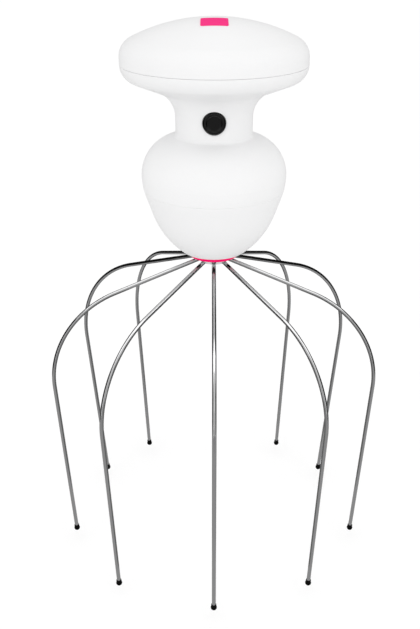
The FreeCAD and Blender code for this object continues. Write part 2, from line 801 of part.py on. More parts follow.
def make_finger(number, turn, lean):
    """One wire, swept along stem, run, bend and leg, and the dipped bead on its tip.

    The five front legs and the four back legs lean in by different angles, and all reach the same floor."""
    bend_end_x = bend_x + size.wire_bend_radius * cosine(lean)
    bend_end_y = bend_y - size.wire_bend_radius * sine(lean)
    tip_x = bend_end_x - (bend_end_y - tip_y) * tangent(lean)
    label = f"finger_wire_{number}"
    wire = new_body(label, turn=turn)
    path = new_sketch(wire)
    draw(path,
         (pivot_x, stem_top),
         (pivot_x, pivot_y + stem_turn),
         (pivot_x + stem_turn * cosine(size.wire_slope_angle),
          pivot_y - stem_turn * sine(size.wire_slope_angle),
          size.stem_bend_radius, LEFT),
         (bend_start_x, bend_start_y),
         (bend_end_x, bend_end_y, size.wire_bend_radius, RIGHT),
         (tip_x, tip_y), closed=False)
    section = new_sketch(wire, "XY_Plane", stem_top)
    draw_circle(section, pivot_x, 0, wire_radius)
    sweep = wire.newObject("PartDesign::AdditivePipe", label + "_sweep")
    sweep.Profile = section
    sweep.Spine = (path, [f"Edge{index}" for index in range(1, 6)])
    keep(wire, label)

    label = f"tip_bead_{number}"
    bead = new_body(label, turn=turn)
    bore = wire_radius + size.bead_fit
    collar = wire_radius + size.bead_collar_wall
    outline = new_sketch(bead)
    outline.AttachmentOffset = FreeCAD.Placement(FreeCAD.Vector(), FreeCAD.Rotation(-UP, lean.value))
    bind(outline, AttachmentOffset__Base__x=tip_x, AttachmentOffset__Base__y=tip_y)
    bind(outline, AttachmentOffset__Rotation__Angle=lean)
    draw(outline,
         (0, -bead_radius),
         (collar, leg_of(bead_radius, collar), bead_radius, LEFT),
         (collar, size.bead_collar_height),
         (bore, size.bead_collar_height),
         (bore, 0),
         (0, 0))
    ball = bead.newObject("PartDesign::Revolution", label + "_turn")
    ball.Profile = outline
    ball.ReferenceAxis = (outline, ["V_Axis"])
    ball.Angle = 360
    keep(bead, label)


# Cells, holder and contacts


def make_cell(label, side, nub_up):
    body = new_body(label, cell_foot if nub_up else cell_top)
    if not nub_up:
        body.Placement.Rotation = FreeCAD.Rotation(FreeCAD.Vector(1, 0, 0), 180)
    bind(body, Placement__Base__x=cell_x * side)
    can_top = size.cell_length - size.cell_nub_height
    nub_radius = size.cell_nub_diameter / 2
    revolve(body, (0, 0), (cell_radius, 0), (cell_radius, can_top), (nub_radius, can_top),
            (nub_radius, size.cell_length), (0, size.cell_length))
    return keep(body, label)


def make_battery_holder():
    body = new_body("battery_holder")
    tube = new_sketch(body, "XY_Plane", holder_foot)
    draw_capsule(tube, cell_x, holder_radius)
    pad(body, tube, holder_top - holder_foot)
    flange = new_sketch(body, "XY_Plane", deck_top)
    draw_circle(flange, 0, 0, holder_flange_radius)
    pad(body, flange, size.holder_flange_thickness)
    bores = new_sketch(body, "XY_Plane", holder_top)
    draw_circle(bores, cell_x, 0, cell_bore)
    draw_circle(bores, -cell_x, 0, cell_bore)
    pocket(body, bores, holder_top - holder_floor_top)
    tab_slot = new_sketch(body, "YZ_Plane")
    half_slot = size.tab_width / 2 + size.contact_fit
    draw_rectangle(tab_slot, -half_slot, holder_floor_top, half_slot,
                   holder_floor_top + size.contact_thickness + size.contact_fit)
    pocket(body, tab_slot, tab_end * 2, both_ways=True)
    posts = new_sketch(body, "XZ_Plane", holder_radius - size.holder_wall / 2)
    for side in (-1, 1):
        draw_circle(posts, 0, button_height + size.post_spread * side, size.post_radius)
    pad(body, posts, size.holder_wall / 2 + size.board_thickness + size.post_stand)
    screw_hole = new_sketch(body, "XY_Plane", holder_top)
    draw_circle(screw_hole, 0, holder_screw_circle, size.holder_screw_radius + size.screw_fit)
    repeat_round(body, pocket(body, screw_hole, size.holder_flange_thickness), 3)
    return keep(body, "battery_holder")


def make_screw(label, head_height, shank_radius, length, head_radius, head_thickness):
    """A slotted pan-head screw whose head rests at head_height, centred on the axis."""
    body = new_body(label, head_height)
    revolve(body, (0, -length), (shank_radius / 2, -length), (shank_radius, -length + shank_radius),
            (shank_radius, 0), (head_radius, 0), (head_radius, head_thickness / 2),
            (head_radius - head_thickness / 2, head_thickness, head_thickness / 2, LEFT), (0, head_thickness))
    slot = new_sketch(body, "XY_Plane", head_thickness)
    half_slot = size.screw_slot / 2
    draw_rectangle(slot, -head_radius, -half_slot, head_radius, half_slot)
    pocket(body, slot, head_thickness / 2)
    return body


def make_holder_screws():
    screws = []
    for number in range(3):
        around = as_size(number * 120)
        screw = make_screw(f"holder_screw_{number + 1}", holder_top, size.holder_screw_radius,
                           size.holder_screw_length - size.screw_fit, size.holder_screw_radius * 2,
                           size.holder_screw_radius)
        bind(screw, Placement__Base__x=-(holder_screw_circle * sine(around)),
             Placement__Base__y=holder_screw_circle * cosine(around))
        screws.append(screw)
    return keep(group("holder_screws", screws), "holder_screws")


def make_contacts():
    plate_top = holder_floor_top + size.contact_thickness
    tab_length = tab_end - cell_x
    tab_lengths = (tab_length, size.tab_width, size.contact_thickness)
    disc = cylinder("negative_disc", -cell_x, 0, holder_floor_top,
                    size.contact_radius, size.contact_thickness)
    tab = box("negative_tab", (-tab_end, -(size.tab_width / 2), holder_floor_top), tab_lengths)
    keep(fuse("negative_contact", disc, tab), "negative_contact")

    hat = new_body("positive_hat", holder_floor_top)
    bind(hat, Placement__Base__x=cell_x)
    top = size.contact_height - size.contact_fit
    thickness = size.contact_thickness
    crown = size.cell_nub_diameter / 2
    revolve(hat, (0, top), (crown, top), (size.contact_radius - thickness * 2, thickness),
            (size.contact_radius, thickness), (size.contact_radius, 0),
            (size.contact_radius - thickness * 3, 0),
            (crown - thickness, top - thickness), (0, top - thickness))
    slip = size.contact_radius - thickness * 3
    tab = box("positive_tab", (cell_x + slip, -(size.tab_width / 2), holder_floor_top),
              (tab_length - slip, size.tab_width, size.contact_thickness))
    keep(fuse("positive_contact", hat, tab), "positive_contact")

    make_spring(plate_top)


def arc_from(start, heading, end):
    """The arc that leaves start along heading and passes through end."""
    chord = end - start
    across = (chord - heading * chord.dot(heading)).normalize()
    radius = chord.dot(chord) / (2 * chord.dot(across))
    centre = start + across * radius
    middle = centre + ((start - centre) + (end - centre)).normalize() * radius
    return Part.Arc(start, middle, end)


def make_spring(foot):
    """A tapered coil: half turns of two tangent arcs each, swept with round wire."""
    wire = size.spring_wire.value
    low = foot.value + wire / 2
    high = cell_foot.value - wire / 2 - size.contact_fit.value
    turns = size.spring_turns.value
    steps = round(turns * 4)

    def place(share):
        angle = 2 * math.pi * turns * share
        radius = size.spring_foot_radius.value + share * (
            size.spring_top_radius.value - size.spring_foot_radius.value)
        return FreeCAD.Vector(radius * math.cos(angle) - cell_x.value, radius * math.sin(angle),
                              low + share * (high - low))

    def heading(share):
        small = 1e-5
        return (place(share + small) - place(share - small)).normalize()

    edges = []
    for step in range(steps):
        start, end = place(step / steps), place((step + 1) / steps)
        leave, arrive = heading(step / steps), heading((step + 1) / steps)
        span = end - start
        both = span.dot(leave + arrive)
        bend = 2 * (1 - leave.dot(arrive))
        reach = (math.sqrt(both * both + bend * span.dot(span)) - both) / bend
        middle = (start + leave * reach + end - arrive * reach) * 0.5
        edges.append(arc_from(start, leave, middle).toShape())
        edges.append(arc_from(end, -arrive, middle).toShape())
    spine = Part.Wire(Part.__sortEdges__(edges))
    section = Part.Wire(Part.Circle(place(0), heading(0), wire / 2).toShape())
    return feature_from(spine.makePipeShell([section], True, False), "battery_spring")


# Button and switch


def make_button():
    body = new_body("button_cap", button_height)
    body.Placement.Rotation = FreeCAD.Rotation(FreeCAD.Vector(1, 0, 0), 90)
    rim = size.button_radius - size.button_round
    dish = size.button_dish
    dish_radius = (rim * rim + dish * dish) / (dish * 2)
    revolve(body,
            (0, button_back),
            (size.button_flange_radius, button_back),
            (size.button_flange_radius, button_seat),
            (size.button_radius, button_seat),
            (size.button_radius, button_face - size.button_round),
            (rim, button_face, size.button_round, LEFT),
            (0, button_face - dish, dish_radius, RIGHT))
    keep(body, "button_cap")
    plunger = cylinder("switch_plunger", 0, -plunger_end, button_height, size.plunger_radius,
                       button_back - plunger_end, to_front=True)
    keep(plunger, "switch_plunger")


def make_switch():
    blank = box("board_blank",
                (-(size.board_width / 2), -board_face, button_height - size.board_length / 2),
                (size.board_width, size.board_thickness, size.board_length))
    holes = [cylinder(f"board_hole_{index}", 0, 0, button_height + size.post_spread * side,
                      size.post_radius + size.post_fit, board_face + size.post_stand, to_front=True)
             for index, side in enumerate((-1, 1))]
    keep(cut("switch_board", blank, group("board_holes", holes)), "switch_board")

    half = size.switch_width / 2
    block = box("switch_block", (-half, -switch_face, button_height - half),
                (size.switch_width, size.switch_depth, size.switch_width))
    well_depth = size.plunger_sink + size.button_travel + size.plunger_fit
    well = cylinder("switch_well", 0, -(switch_face - well_depth), button_height,
                    size.plunger_radius + size.plunger_fit, well_depth, to_front=True)
    keep(cut("switch_body", block, well), "switch_body")


# Motor, mount and rotor


def make_motor():
    mount = new_body("motor_mount")
    screw_hole = size.pilot_radius + size.screw_fit
    bore = motor_radius + size.motor_fit
    base_radius = floor_reach - size.mount_base_gap
    revolve(mount,
            (screw_hole, floor_top),
            (base_radius, floor_top),
            (base_radius, mount_base_top),
            (bore + size.mount_wall, mount_base_top),
            (bore + size.mount_wall, motor_foot + size.mount_grip),
            (bore, motor_foot + size.mount_grip),
            (bore, motor_foot),
            (chamber_radius, motor_foot),
            (chamber_radius, mount_base_top),
            (screw_hole, mount_base_top))
    keep(mount, "motor_mount")

    can = new_body("motor_can")
    revolve(can,
            (shaft_hole, motor_foot - size.motor_boss_height),
            (size.motor_boss_radius, motor_foot - size.motor_boss_height),
            (size.motor_boss_radius, motor_foot),
            (motor_radius, motor_foot),
            (motor_radius, motor_top),
            (can_bore, motor_top),
            (can_bore, motor_foot + size.motor_wall),
            (shaft_hole, motor_foot + size.motor_wall))
    keep(can, "motor_can")

    magnets = []
    magnet_foot = armature_foot - size.magnet_overhang / 2
    magnet_top = armature_top + size.magnet_overhang / 2
    for number, turn in enumerate((0, 180)):
        magnet = new_body(f"magnet_{number + 1}", turn=as_size(turn))
        revolve(magnet,
                (magnet_radius - size.magnet_thickness, magnet_foot),
                (magnet_radius, magnet_foot),
                (magnet_radius, magnet_top),
                (magnet_radius - size.magnet_thickness, magnet_top),
                angle=size.magnet_arc_angle)
        magnets.append(magnet)
    keep(group("motor_magnets", magnets), "motor_magnets")

    cap = new_body("motor_end_cap")
    bearing_top = motor_top + size.motor_cap_thickness / 2
    revolve(cap,
            (0, bearing_top),
            (shaft_hole, bearing_top),
            (shaft_hole, plug_foot),
            (magnet_radius, plug_foot),
            (magnet_radius, motor_top),
            (motor_radius, motor_top),
            (motor_radius, cap_top),
            (0, cap_top))
    keep(cap, "motor_end_cap")

    terminals = []
    brushes = []
    brush_near = size.commutator_radius + size.brush_gap
    brush_length = size.commutator_length + size.brush_gap
    for number, side in enumerate((-1, 1), start=1):
        near = size.terminal_radius if side == 1 else -terminal_face
        terminals.append(box(f"terminal_{number}", (-(size.terminal_width / 2), near, cap_top),
                             (size.terminal_width, size.terminal_thickness, size.terminal_height)))
        near = brush_near if side == 1 else -(brush_near + size.brush_thickness)
        brushes.append(box(f"brush_{number}", (-(size.brush_width / 2), near, plug_foot - brush_length),
                           (size.brush_width, size.brush_thickness, brush_length)))
    keep(group("motor_terminals", terminals), "motor_terminals")
    keep(group("motor_brushes", brushes), "motor_brushes")

    screw = make_screw("hub_screw", mount_base_top, size.pilot_radius - size.screw_fit,
                       size.mount_base_thickness + size.hub_spigot_drop + size.pilot_depth - size.screw_fit,
                       size.screw_head_radius, size.screw_head_height)
    keep(screw, "hub_screw")


def make_rotor():
    shaft_foot = weight_foot + size.press_gap
    shaft_top = motor_top + size.motor_cap_thickness / 2 - size.shaft_fit
    shaft = cylinder("motor_shaft", 0, 0, shaft_foot, shaft_radius, shaft_top - shaft_foot)
    keep(shaft, "motor_shaft")

    armature = new_body("motor_armature")
    revolve(armature, (rotor_bore, armature_foot), (armature_radius, armature_foot),
            (armature_radius, armature_top), (rotor_bore, armature_top))
    slot = new_sketch(armature, "XY_Plane", armature_top)
    half_slot = size.armature_slot / 2
    draw_rectangle(slot, -half_slot, size.armature_core_radius, half_slot, magnet_radius)
    repeat_round(armature, pocket(armature, slot, armature_length), 3)
    keep(armature, "motor_armature")

    commutator = new_body("motor_commutator")
    revolve(commutator, (rotor_bore, commutator_foot),
            (size.commutator_radius, commutator_foot),
            (size.commutator_radius, commutator_top), (rotor_bore, commutator_top))
    keep(commutator, "motor_commutator")

    weight = new_body("eccentric_weight")
    revolve(weight, (rotor_bore, weight_foot), (size.weight_hub_radius, weight_foot),
            (size.weight_hub_radius, weight_top), (rotor_bore, weight_top))
    revolve(weight, (rotor_bore, weight_foot), (size.weight_radius, weight_foot),
            (size.weight_radius, weight_top), (rotor_bore, weight_top), angle=as_size(180))
    keep(weight, "eccentric_weight")


# Leads: straight runs joined by arcs, each as large as its runs allow


def make_lead(label, points):
    radius = size.lead_diameter.value / 2
    points = [FreeCAD.Vector(*point) for point in points]
    edges = []
    here = points[0]
    for before, corner, after in zip(points, points[1:], points[2:]):
        back = before - corner
        on = after - corner
        turn = math.pi - back.getAngle(on)
        trim = 0.45 * min(back.Length, on.Length)
        back.normalize()
        on.normalize()
        enter = corner + back * trim
        leave = corner + on * trim
        bend = trim / math.tan(turn / 2)
        centre = corner + (back + on).normalize() * math.hypot(bend, trim)
        middle = centre + (corner - centre).normalize() * bend
        edges.append(Part.LineSegment(here, enter).toShape())
        edges.append(Part.Arc(enter, middle, leave).toShape())
        here = leave
    edges.append(Part.LineSegment(here, points[-1]).toShape())
    spine = Part.Wire(edges)
    section = Part.Wire(Part.Circle(points[0], points[1] - points[0], radius).toShape())
    shape = spine.makePipeShell([section], True, False)
    expected = math.pi * radius ** 2 * spine.Length
    share = shape.Volume / expected
    print(f"{label}: {spine.Length:.1f} mm long, volume {share:.4f} of section times length")
    return feature_from(shape, label)


def make_leads():
    tab_x = tab_end.value - size.lead_diameter.value * 0.6
    tab_foot = holder_floor_top.value
    tab_top = tab_foot + size.contact_thickness.value
    terminal_z = cap_top.value + size.terminal_height.value * 0.5
    terminal_y = terminal_face.value
    board_y = -board_face.value
    board_foot = (button_height - size.board_length / 2).value
    joint_z = board_foot + size.lead_diameter.value
    joint_x = size.board_width.value / 2 - size.lead_diameter.value
    clear_y = board_y - 2 * size.lead_diameter.value
    side_y = holder_radius.value
    stub = size.lead_stub.value
    loop = size.lead_loop.value
    make_lead("lead_black", [
        (-tab_x, 0, tab_foot), (-tab_x, 0, tab_foot - stub), (-tab_x + stub, loop * 0.7, terminal_z),
        (-loop, terminal_y + loop, terminal_z), (-loop / 2, terminal_y + loop, terminal_z),
        (0, terminal_y + loop * 0.6, terminal_z), (0, terminal_y, terminal_z)])
    climb = joint_z - tab_top
    make_lead("lead_red", [
        (tab_x, 0, tab_top), (tab_x, 0, tab_top + climb * 0.14),
        (holder_reach.value * 0.94, -side_y * 0.86, tab_top + climb * 0.34),
        (tab_x * 0.48, clear_y, tab_top + climb * 0.58), (joint_x, clear_y - stub / 6, joint_z - stub),
        (joint_x, clear_y, joint_z), (joint_x, board_y, joint_z)])
    make_lead("lead_yellow", [
        (-joint_x, board_y, joint_z), (-joint_x, clear_y, joint_z),
        (-joint_x, clear_y - stub / 6, joint_z - stub),
        (-joint_x, clear_y - stub / 2, tab_foot), (-loop * 0.3, clear_y - stub * 0.65, terminal_z + stub / 2),
        (0, -terminal_y - loop * 0.6, terminal_z), (0, -terminal_y, terminal_z)])


make_main_housing()
make_base_cup()
make_lid()
make_label()
make_hub()
make_accent_ring()
for finger, (finger_turn, finger_lean) in enumerate(zip(finger_turns, finger_leans), start=1):
    make_finger(finger, finger_turn, finger_lean)
make_cell("cell_left", -1, nub_up=True)
make_cell("cell_right", 1, nub_up=False)
make_battery_holder()
make_holder_screws()
make_contacts()
make_button()
make_switch()
make_motor()
make_rotor()
make_leads()
doc.recompute()

for thing in doc.Objects:
    if "Invalid" in thing.State or "Error" in thing.State:
        raise RuntimeError(f"{thing.Label} did not build: {thing.State}")
for piece in finished:
    if piece.Shape.isNull() or not piece.Shape.isValid() or not piece.Shape.Solids:
        raise RuntimeError(f"{piece.Label} has no valid solid")

os.makedirs("parts", exist_ok=True)
for piece in finished:
    piece.Shape.exportStep(f"parts/{piece.Label}.step")
print(f"{len(finished)} pieces, hub plane at {hub_height.value:.2f} mm")
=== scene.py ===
import json
import math

import bpy
import numpy as np
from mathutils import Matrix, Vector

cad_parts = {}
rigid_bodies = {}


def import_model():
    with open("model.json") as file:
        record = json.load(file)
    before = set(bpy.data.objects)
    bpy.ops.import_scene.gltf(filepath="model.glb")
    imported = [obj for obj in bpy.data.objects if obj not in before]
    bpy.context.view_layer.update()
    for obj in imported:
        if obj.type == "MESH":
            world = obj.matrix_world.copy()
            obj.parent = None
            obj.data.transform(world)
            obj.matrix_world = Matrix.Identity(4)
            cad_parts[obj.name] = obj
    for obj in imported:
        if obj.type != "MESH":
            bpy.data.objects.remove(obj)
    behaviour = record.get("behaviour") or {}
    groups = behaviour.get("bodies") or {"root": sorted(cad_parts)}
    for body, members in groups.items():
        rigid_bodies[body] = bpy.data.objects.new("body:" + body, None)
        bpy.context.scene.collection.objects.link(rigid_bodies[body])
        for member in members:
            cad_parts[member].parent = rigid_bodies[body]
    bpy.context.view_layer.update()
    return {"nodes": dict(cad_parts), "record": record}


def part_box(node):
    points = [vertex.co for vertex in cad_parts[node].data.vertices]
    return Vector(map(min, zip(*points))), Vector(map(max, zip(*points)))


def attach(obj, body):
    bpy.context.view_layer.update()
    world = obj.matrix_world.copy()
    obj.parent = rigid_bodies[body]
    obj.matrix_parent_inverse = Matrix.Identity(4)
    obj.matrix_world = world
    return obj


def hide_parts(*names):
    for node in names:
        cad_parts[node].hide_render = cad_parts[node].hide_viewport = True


for leftOver in list(bpy.data.objects):  # the start-up cube, lamp and camera
    bpy.data.objects.remove(leftOver)
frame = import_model()
nodes = frame["nodes"]
millimetre = 0.001  # pieces are worked out in millimetres, and the stage and camera in metres
print("frame loaded:", len(nodes), "nodes")


# meshes from numpy grids

def gridMesh(name, points):
    # rows of points run along the piece and columns go round it; a middle point closes each end
    rows, columns = points.shape[:2]
    flat = np.concatenate([points.reshape(-1, 3), points[[0, -1]].mean(axis=1)])
    here = np.arange(rows * columns).reshape(rows, columns)
    beside = np.roll(here, -1, axis=1)
    quads = np.stack([here[:-1], beside[:-1], beside[1:], here[1:]], axis=-1).reshape(-1, 4)
    startPole, endPole = (np.full(columns, rows * columns + end) for end in (0, 1))
    fans = np.concatenate([np.stack([startPole, beside[0], here[0]], axis=-1),
                           np.stack([here[-1], beside[-1], endPole], axis=-1)])
    triangles = np.concatenate([quads[:, [0, 1, 2]], quads[:, [0, 2, 3]], fans])
    first, second, third = (flat[triangles[:, corner]] for corner in range(3))
    sixVolumes = np.einsum("ij,ij->i", first, np.cross(second, third)).sum()
    if sixVolumes < 0:  # inside out
        quads, fans = quads[:, ::-1], fans[:, ::-1]
    corners = np.concatenate([quads.ravel(), fans.ravel()]).astype(np.int32)
    starts = np.concatenate([np.arange(len(quads)) * 4, len(quads) * 4 + np.arange(len(fans)) * 3])
    mesh = bpy.data.meshes.new(name)
    mesh.vertices.add(len(flat))
    mesh.vertices.foreach_set("co", (flat * millimetre).astype(np.float32).ravel())
    mesh.loops.add(len(corners))
    mesh.loops.foreach_set("vertex_index", corners)
    mesh.polygons.add(len(starts))
    mesh.polygons.foreach_set("loop_start", starts.astype(np.int32))
    mesh.update(calc_edges=True)
    mesh.polygons.foreach_set("use_smooth", np.ones(len(starts), bool))
    return mesh, corners


def addUv(mesh, corners, along, columns):
    # u is the distance along the piece in millimetres, v goes from 0 to 1 round it
    row = np.minimum(corners // columns, len(along) - 1)
    v = (corners % columns) / columns
    layer = mesh.uv_layers.new(name="alongPiece")
    layer.uv.foreach_set("vector", np.stack([along[row], v], axis=-1).astype(np.float32).ravel())


def addPiece(name, mesh, body, slotName, *replacedNodes):
    piece = bpy.data.objects.new(name, mesh)
    bpy.context.scene.collection.objects.link(piece)
    piece.data.materials.append(finishes[slotName])
    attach(piece, body)
    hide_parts(*replacedNodes)


def turned(profile, origin, axis, across, sides):
    # a profile of (radius, height) turned about an axis:
    # origin + height * axis + radius * (cosine * across + sine * third direction)
    axis, across = np.asarray(axis, float), np.asarray(across, float)
    third = np.cross(axis, across)
    angle = np.linspace(0, 2 * np.pi, sides, endpoint=False)
    circle = np.cos(angle)[:, None] * across + np.sin(angle)[:, None] * third
    return np.asarray(origin) + profile[:, 1, None, None] * axis + profile[:, 0, None, None] * circle


def arcRun(centre, radius, startDegrees, endDegrees, count):
    # points of a circular arc in the (radius, height) plane
    angle = np.radians(np.linspace(startDegrees, endDegrees, count))
    return np.stack([centre[0] + radius * np.cos(angle), centre[1] + radius * np.sin(angle)], axis=-1)


def boxInMillimetres(node):
    return [np.array(corner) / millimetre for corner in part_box(node)]


# finishes

def addNode(tree, kind, inputs=None, **settings):
    node = tree.nodes.new(kind)
    for key, value in settings.items():
        setattr(node, key, value)
    for key, value in (inputs or {}).items():
        if isinstance(value, bpy.types.NodeSocket):
            tree.links.new(value, node.inputs[key])
        else:
            node.inputs[key].default_value = value
    return node


def mathNode(tree, operation, *values, **settings):
    inputs = dict(enumerate(values))
    return addNode(tree, "ShaderNodeMath", inputs, operation=operation, **settings).outputs[0]


def newGroup(name, inputs, outputs):
    tree = bpy.data.node_groups.new(name, "ShaderNodeTree")
    for socket, kind in inputs:
        tree.interface.new_socket(name=socket, in_out="INPUT", socket_type="NodeSocket" + kind)
    for socket, kind in outputs:
        tree.interface.new_socket(name=socket, in_out="OUTPUT", socket_type="NodeSocket" + kind)
    return tree, addNode(tree, "NodeGroupInput").outputs, addNode(tree, "NodeGroupOutput")


skinNoise = {
    "patches": {"Detail": 3.0, "Roughness": 0.55},
    "grain": {"Detail": 2.0, "Roughness": 0.6},
    "meanSum": 1.0,  # each noise averages a half
}


def buildSkinGroup():
    # slow and fine noise together, less their mean, shift colour and roughness;
    # the fine noise is also the relief that a mould, mill or drawing die leaves
    tree, given, result = newGroup(
        "surfaceSkin",
        [("Place", "Vector"), ("Colour", "Color"), ("Shade", "Float"), ("Roughness", "Float"),
         ("Spread", "Float"), ("Patch scale", "Float"), ("Grain scale", "Float"), ("Relief", "Float")],
        [("Colour", "Color"), ("Roughness", "Float"), ("Normal", "Vector")])
    patches = addNode(tree, "ShaderNodeTexNoise",
                      {"Vector": given["Place"], "Scale": given["Patch scale"], **skinNoise["patches"]})
    grain = addNode(tree, "ShaderNodeTexNoise",
                    {"Vector": given["Place"], "Scale": given["Grain scale"], **skinNoise["grain"]})
    mixed = mathNode(tree, "ADD", patches.outputs["Fac"], grain.outputs["Fac"])
    centred = mathNode(tree, "SUBTRACT", mixed, skinNoise["meanSum"])
    shading = mathNode(tree, "MULTIPLY_ADD", centred, given["Shade"], 1.0)
    colour = addNode(tree, "ShaderNodeVectorMath", {0: given["Colour"], "Scale": shading}, operation="SCALE")
    rough = mathNode(tree, "MULTIPLY_ADD", centred, given["Spread"], given["Roughness"], use_clamp=True)
    bump = addNode(tree, "ShaderNodeBump", {"Strength": 1.0, "Distance": given["Relief"],
                                            "Height": grain.outputs["Fac"]})
    for socket, value in (("Colour", colour.outputs[0]), ("Roughness", rough), ("Normal", bump.outputs[0])):
        tree.links.new(value, result.inputs[socket])
    return tree


skinGroup = buildSkinGroup()


def newFinish(name, looks):
    # one Principled shader, with the shared skin group on colour, roughness and normal
    material = bpy.data.materials.new(name)
    material.use_nodes = True
    tree = material.node_tree
    shader = tree.nodes["Principled BSDF"]
    place = addNode(tree, "ShaderNodeTexCoord").outputs["UV" if looks.get("uv") else "Object"]
    stretch = addNode(tree, "ShaderNodeMapping", {"Vector": place, "Scale": looks.get("stretch", (1, 1, 1))})
    skin = addNode(tree, "ShaderNodeGroup", node_tree=skinGroup)
    tree.links.new(stretch.outputs[0], skin.inputs["Place"])
    skin.inputs["Colour"].default_value = (*looks["colour"], 1)
    for socket, key in (("Shade", "shade"), ("Roughness", "roughness"), ("Spread", "spread"),
                        ("Patch scale", "patches"), ("Grain scale", "grain"), ("Relief", "relief")):
        skin.inputs[socket].default_value = looks[key]
    for output, socket in (("Colour", "Base Color"), ("Roughness", "Roughness"), ("Normal", "Normal")):
        tree.links.new(skin.outputs[output], shader.inputs[socket])
    for socket, value in looks.get("shader", {}).items():
        shader.inputs[socket].default_value = value
    return material


moulded = {"shade": 0.03, "spread": 0.06, "patches": 60.0, "grain": 2600.0, "relief": 0.000004}
metal = {"shade": 0.06, "spread": 0.08, "patches": 120.0, "grain": 900.0, "relief": 0.000003}
finishLooks = {
    "white_shell": {**moulded, "colour": (0.87, 0.87, 0.873), "roughness": 0.48,
                    "shader": {"Specular IOR Level": 0.04}},
    # painted light: the hub's white is lighter than the shell's to lift the shade it sits in under the pink
    # ring
    "white_hub": {**moulded, "colour": (0.90, 0.90, 0.90), "roughness": 0.42, "shader": {"IOR": 1.48}},
    "pink_plastic": {**moulded, "colour": (1.0, 0.001, 0.150), "roughness": 0.40,
                     "shader": {"Specular IOR Level": 0.06}},
    "pink_label": {**moulded, "colour": (0.94, 0.022, 0.225), "roughness": 0.55, "grain": 5200.0,
                   "relief": 0.000002, "shader": {"Specular IOR Level": 0.05}},
    "black_button": {**moulded, "colour": (0.0015, 0.0015, 0.0014), "roughness": 0.16, "grain": 3400.0,
                     "shader": {"IOR": 1.42, "Specular IOR Level": 0.34}},
    "black_rubber": {**moulded, "colour": (0.016, 0.016, 0.016), "roughness": 0.62, "shader": {"IOR": 1.45}},
    "black_plastic": {**moulded, "colour": (0.02, 0.02, 0.021), "roughness": 0.48, "shader": {"IOR": 1.48}},
    "black_bead": {**moulded, "colour": (0.0025, 0.0025, 0.0025), "roughness": 0.24, "grain": 1800.0,
                   "shader": {"Specular IOR Level": 0.04}},
    "lead_black": {**moulded, "colour": (0.015, 0.015, 0.015), "roughness": 0.45},
    "lead_red": {**moulded, "colour": (0.52, 0.012, 0.012), "roughness": 0.45},
    "lead_yellow": {**moulded, "colour": (0.74, 0.50, 0.03), "roughness": 0.45},
    "green_board": {**moulded, "colour": (0.02, 0.16, 0.055), "roughness": 0.35, "grain": 1500.0},
    "cell_jacket": {**moulded, "colour": (0.10, 0.17, 0.26), "roughness": 0.28},
    "nickel_contact": {**metal, "colour": (0.72, 0.69, 0.63), "roughness": 0.24, "shader": {"Metallic": 1.0}},
    "steel_screw": {**metal, "colour": (0.60, 0.60, 0.60), "roughness": 0.32, "shader": {"Metallic": 1.0}},
    "motor_steel": {**metal, "colour": (0.60, 0.60, 0.60), "roughness": 0.30, "stretch": (1, 1, 0.05),
                    "shader": {"Metallic": 1.0}},
    "magnet": {**metal, "colour": (0.05, 0.05, 0.055), "roughness": 0.60},
    "brass": {**metal, "colour": (0.70, 0.48, 0.20), "roughness": 0.28, "stretch": (0.05, 0.05, 1),
              "shader": {"Metallic": 1.0}},
    # drawn wire: the pattern is stretched along the wire's own length
    "spring_steel": {**metal, "colour": (0.50, 0.50, 0.505), "roughness": 0.11, "spread": 0.05, "uv": True,
                     "stretch": (0.02, 9.0, 1), "patches": 1.0, "grain": 4.0, "relief": 0.0000012,
                     "shader": {"Metallic": 1.0}},
}
finishes = {name: newFinish(name, looks) for name, looks in finishLooks.items()}
for row in frame["record"]["subparts"]:
    node = nodes[row["node"]]
    node.data.materials.clear()
    node.data.materials.append(finishes[row["material_slot"]])
nodes["accent_ring"].visible_glossy = False  # keeps the wire roots under it steel grey
print("finishes:", len(finishes))


# sprung wires and their dipped beads

fingerWire = {
    # millimetres and degrees; reach runs down the slope, from the axis to where the bend starts
    "radius": 0.8, "slope": 18.2, "reach": 42.6, "bendRadius": 38.6, "leg": 73.9,
    "frontLean": 3.0, "backLean": 5.6, "rootRadius": 5.4, "stem": 2.4, "stemBend": 1.4,
    "angles": (0, 38, 75.5, 119, 146.5, -146.5, -119, -75.5, -38),  # from the front wire
    "sides": 28, "spacing": 0.8, "stemSteps": 4, "stemBendSteps": 14, "bendSteps": 90,
}
tipBead = {
    "radius": 1.25, "collar": 1.05, "height": 1.6, "bore": 0.82, "lip": 0.12,
    "sides": 36, "ballSteps": 26, "lipSteps": 7, "wallSteps": 6,
}


